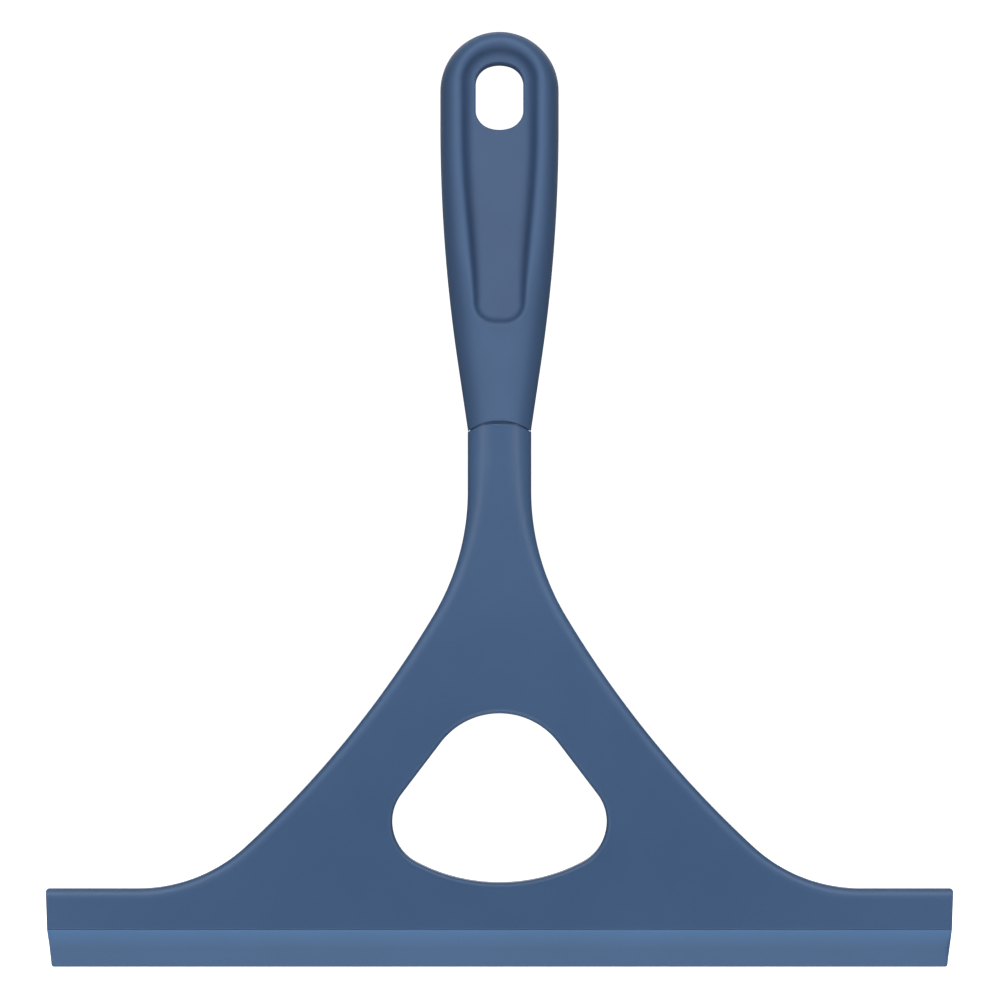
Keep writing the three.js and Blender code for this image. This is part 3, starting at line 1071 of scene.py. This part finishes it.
windowFoot = barTop + window["aboveBar"]
windowCrownZ = windowFoot + window["height"] - window["crownRadius"]
windowCornerZ = windowFoot + window["cornerRise"]
crownToCorner = math.hypot(window["cornerOffset"], windowCrownZ - windowCornerZ)
cornerLean = math.atan2(windowCrownZ - windowCornerZ, window["cornerOffset"])
sideTurn = math.acos((window["crownRadius"] - window["cornerRadius"]) / crownToCorner) - cornerLean
footReach = window["cornerRadius"] ** 2 - window["cornerOffset"] ** 2 - window["cornerRise"] ** 2
footArcRadius = footReach / (2 * (window["cornerRadius"] - window["cornerRise"]))
footArcZ = windowFoot + footArcRadius
footSwing = math.atan2(windowCornerZ - footArcZ, window["cornerOffset"])


def windowOutset(x, z):
    # distance outside the window
    x = abs(x)
    if math.atan2(z - windowCrownZ, max(x, tiny)) > sideTurn:
        return math.hypot(x, z - windowCrownZ) - window["crownRadius"]
    offset = window["cornerOffset"]
    turn = math.atan2(z - windowCornerZ, x - offset)
    if x > offset * window["cornerFrom"] and footSwing < turn < sideTurn:
        return math.hypot(x - offset, z - windowCornerZ) - window["cornerRadius"]
    if z < windowCornerZ:
        return math.hypot(x, z - footArcZ) - footArcRadius
    return x * math.cos(sideTurn) + (z - windowCrownZ) * math.sin(sideTurn) - window["crownRadius"]


def windowRun(out, step):
    offset = window["cornerOffset"]
    right = arc(0, windowCrownZ, window["crownRadius"] + out, math.pi / 2, sideTurn, step)
    corner = arc(offset, windowCornerZ, window["cornerRadius"] + out, sideTurn, footSwing, step)
    right += line(*right[-1], *corner[0], step)[1:-1] + corner
    right += arc(0, footArcZ, footArcRadius + out, footSwing, -math.pi / 2, step)[1:]
    return right + mirrored(right)


def frameHeight(x, z):
    thick = alongKeys(body["thickness"], z)
    width = alongKeys(body["edgeWidth"], z)
    depth = alongKeys(body["edgeDepth"], z)
    rim = edgeDrop(frameInset(x, z), width, depth)
    end = 0
    if z < barTop + body["endFrom"]:
        end = edgeDrop(barEndAt(z) - abs(x), body["endEdge"], body["endEdge"])
    under = edgeDrop(z - body["seam"], body["seamEdge"], body["seamEdge"])
    top = edgeDrop(archAt(x, body["groove"]) - z, body["topEdge"], body["topEdge"])
    opening = edgeDrop(windowOutset(x, z), window["edgeWidth"], window["edgeDepth"])
    return thick - max(rim, end, under, top) - opening


def framePaintedHighlight(x, z):
    # painted highlight: the rounded rim of the flare and bar is painted a little lighter
    d = frameInset(x, z)
    low = smooth((body["rimHighlightFrom"] - z) / body["rimHighlightFade"])
    away = (d - body["rimHighlightAt"]) / body["rimHighlightWidth"]
    change = body["rimHighlight"] * math.exp(-away ** body["rimHighlightPower"]) * low
    return [1 + change] * 3 + [1]


frameMesh = {
    # spacing along the flare and bar top, the neck, the bar's corner and end, the seam and the arch
    "outlineStep": 1.0,
    "neckStep": 0.8,
    "cornerStep": 0.15,
    "endStep": 0.6,
    "seamStep": 1.5,
    "archStep": 0.5,
    "windowStep": 0.8,
    "ringStep": 0.9,
    # rows round the window, in from the outline, above the seam, in from the ends and below the arch
    "windowRows": (0.05, 0.15, 0.3, 0.5, 0.75, 1.0, 1.3, 1.9),
    "rimRows": (0.03, 0.12, 0.28, 0.5, 0.8, 1.15, 1.55, 2.0, 2.55, 3.2, 3.9, 4.6),
    "seamRows": (0.04, 0.1, 0.2, 0.5),
    "endRows": (0.05, 0.15, 0.28, 0.45, 0.9),
    "archRows": (0.05, 0.15, 0.3, 0.5, 0.8),
    "shy": 0.02,  # how far a row stops short of the outline it would run into
    # loose points: close together down to a height, then further apart, and how far they keep off
    "fine": 0.85,
    "fineDownTo": -172,
    "coarse": 2.2,
    "rowShare": 0.87,
    "clearShare": 0.4,
    "fromSeam": 1.4,
    "fromEnd": 1.5,
    "fromRim": 4.6,
    "fromWindow": 1.9,
    "fromArch": 1.2,
}


def framePlan():
    m = frameMesh
    plan = newPlan()
    step = m["outlineStep"]
    seam = body["seam"]

    def side(d, top):
        run = line(body["neckHalf"] - d, top, body["neckHalf"] - d, body["flareStart"], m["neckStep"])
        for cx, cz, radius, start, end in flareArcs:
            run += arc(cx, cz, radius + d, math.pi + start, math.pi + end, step)[1:]
        return run

    def across(reach, down):
        return [(x, archAt(x, down)) for x, _ in line(-reach, 0, reach, 0, m["archStep"])]

    gap = body["groove"]
    corner = body["cornerRadius"]
    right = side(0, archAt(body["neckHalf"], gap))
    right += line(flareFoot, barTop, body["barHalf"] - corner, barTop, step)[1:]
    right += arc(body["barHalf"] - corner, barTop - corner, corner, math.pi / 2, 0, m["cornerStep"])[1:]
    right += line(body["barHalf"], barTop - corner, barEndAt(seam), seam, m["endStep"])[1:]
    base = line(barEndAt(seam), seam, -barEndAt(seam), seam, m["seamStep"])[1:-1]
    neckTop = across(body["neckHalf"], gap)[1:-1]
    addRun(plan, right + base + mirrored(right) + neckTop, closed=True, asFace=True)
    addRun(plan, windowRun(0, m["windowStep"]), closed=True, asFace=True)
    for out in m["windowRows"]:
        addRun(plan, windowRun(out, m["ringStep"]), closed=True)
    for d in m["rimRows"]:
        run = side(d, archAt(body["neckHalf"] - d, gap))
        run += line(flareFoot, barTop - d, barEndAt(barTop - d), barTop - d, step)[1:]
        addRun(plan, run)
        addRun(plan, [(-x, z) for x, z in run])
    for up in m["seamRows"]:
        reach = barEndAt(seam + up)
        addRun(plan, line(-reach, seam + up, reach, seam + up, m["seamStep"]))
    for d in m["endRows"]:
        for s in (-1, 1):
            top = s * (barEndAt(barTop) - d)
            foot = s * (barEndAt(seam) - d)
            addRun(plan, line(top, barTop - m["shy"], foot, seam, m["endStep"]))
    for down in m["archRows"]:
        addRun(plan, across(body["neckHalf"] - m["shy"], gap + down))
    # loose points over the flat of the plate, closer together in the neck
    z = seam + m["fromSeam"]
    row = 0
    while z < grip["end"]:
        apart = m["fine"] if z > m["fineDownTo"] else m["coarse"]
        clear = apart * m["clearShare"]
        x = 0 if row % 2 else apart / 2
        while x < body["barHalf"] - m["fromEnd"]:
            offRim = frameInset(x, z) > m["fromRim"] + clear
            offWindow = windowOutset(x, z) > m["fromWindow"] + clear
            if offRim and offWindow and archAt(x, gap) - z > m["fromArch"]:
                addLoose(plan, x, z)
            x += apart
        z += apart * m["rowShare"]
        row += 1
    return plan


def channelProfile():
    seam = body["seam"]
    top = seam + channel["top"]
    shelf = top - channel["height"]
    low = seam - channel["cutBelow"]
    bead = channel["beadHalf"]
    throat = channel["throatHalf"]
    return [(-throat, low), (throat, low), (throat, shelf), (bead, shelf), (bead, top),
            (-bead, top), (-bead, shelf), (-throat, shelf)]


tool = solidFromPlan("squeegeeFrame", framePlan(), frameHeight, parting)
cutReach = body["barHalf"] + channel["cutBeyond"]
cutAway(tool, sweptX("channelCutter", channelProfile(), lambda z: cutReach, [-1, 1]))
storePaintedLight(tool, framePaintedHighlight)
finishPiece(tool, framePlastic, "head")
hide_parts("head_frame")
print("frame made:", len(tool.data.polygons), "faces")

# the blade: bead and stem in the channel, shoulder, ridge and lip

blade = {
    "beadHalf": 1.5,
    "stemHalf": 0.6,
    "beadTop": 5.3,
    "beadFoot": 3.05,
    "beadChamfer": 0.3,
    "beadEase": 0.1,
    "shoulderGap": 0.06,
    "shoulderHalf": 2.86,
    "shoulderRound": 0.18,
    "roundTurns": (0, 0.4, 0.8, 1.2, 1.5),  # radians round the shoulder's top edge
    "lipHalf": 0.9,
    "edgeHalf": 0.6,
    "edgeRound": 0.16,
    "edgeTurns": (0.5, 1.0, math.pi / 2),  # radians round the wiping edge
    "ridgeSoft": 0.5,
    "endDraft": 1.15,
    "cornerRadius": 0.6,
    "shoulderRows": 10,  # the shoulder's slope is split into these
    "straightRows": 8,  # and this many are straight, before the turn at the ridge
    "ridgeRows": 6,
    "lipRows": 24,
    "stations": 100,  # along the blade
}


def bladeProfile():
    # half is one side from the bead's top down to the wiping edge, as (half thickness, z)
    b = blade
    seam = body["seam"]
    ridge = rootLow[2]
    foot = lipLow[2]
    beadTop = seam + b["beadTop"]
    beadFoot = seam + b["beadFoot"]
    top = seam - b["shoulderGap"]
    half = [
        (0, beadTop),
        (b["beadHalf"] - b["beadChamfer"], beadTop),
        (b["beadHalf"], beadTop - b["beadChamfer"]),
        (b["beadHalf"], beadFoot + b["beadEase"]),
        (b["beadHalf"] - b["beadEase"], beadFoot),
        (b["stemHalf"], beadFoot),
        (b["stemHalf"], top),
    ]
    r = b["shoulderRound"]
    for t in b["roundTurns"]:
        half.append((b["shoulderHalf"] - r + r * math.sin(t), top - r + r * math.cos(t)))
    # the shoulder's slope, then a soft turn into the lip
    slopeTop = (b["shoulderHalf"], top - r)
    slopeEnd = (b["lipHalf"], ridge)
    for i in range(1, b["straightRows"] + 1):
        t = i / b["shoulderRows"]
        half.append((mix(slopeTop[0], slopeEnd[0], t), mix(slopeTop[1], slopeEnd[1], t)))
    turnFrom = half[-1]
    lipTop = (mix(b["lipHalf"], b["edgeHalf"], b["ridgeSoft"] / (ridge - foot)), ridge - b["ridgeSoft"])
    for i in range(1, b["ridgeRows"] + 1):
        t = i / b["ridgeRows"]
        half.append([(1 - t) ** 2 * start + 2 * t * (1 - t) * bend + t * t * end
                     for start, bend, end in zip(turnFrom, slopeEnd, lipTop)])
    e = b["edgeRound"]
    for i in range(1, b["lipRows"] + 1):
        t = i / b["lipRows"]
        half.append((mix(lipTop[0], b["edgeHalf"], t), mix(lipTop[1], foot + e, t)))
    half += [(b["edgeHalf"] - e + e * math.cos(t), foot + e - e * math.sin(t)) for t in b["edgeTurns"]]
    half.append((0, foot))
    return [(-y, z) for y, z in half] + [(y, z) for y, z in reversed(half[1:-1])]


def bladeEnd(z):
    # how far out the blade reaches at a height, with a small round corner at the wiping edge
    seam = body["seam"]
    foot = lipLow[2]
    reach = barEndAt(seam) - blade["endDraft"] * max(0, seam - z) / (seam - foot)
    r = blade["cornerRadius"]
    above = z - foot
    if above < r:
        reach -= r - math.sqrt(max(0, r * r - (r - above) ** 2))
    return reach


stations = [-1 + 2 * i / blade["stations"] for i in range(blade["stations"] + 1)]
strip = sweptX("bladeStrip", bladeProfile(), bladeEnd, stations)
finishPiece(strip, bladeRubber, None, sharpDegrees=50)
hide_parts("blade_root", "blade_lip")
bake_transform(strip)
print("blade made:", len(strip.data.polygons), "faces")
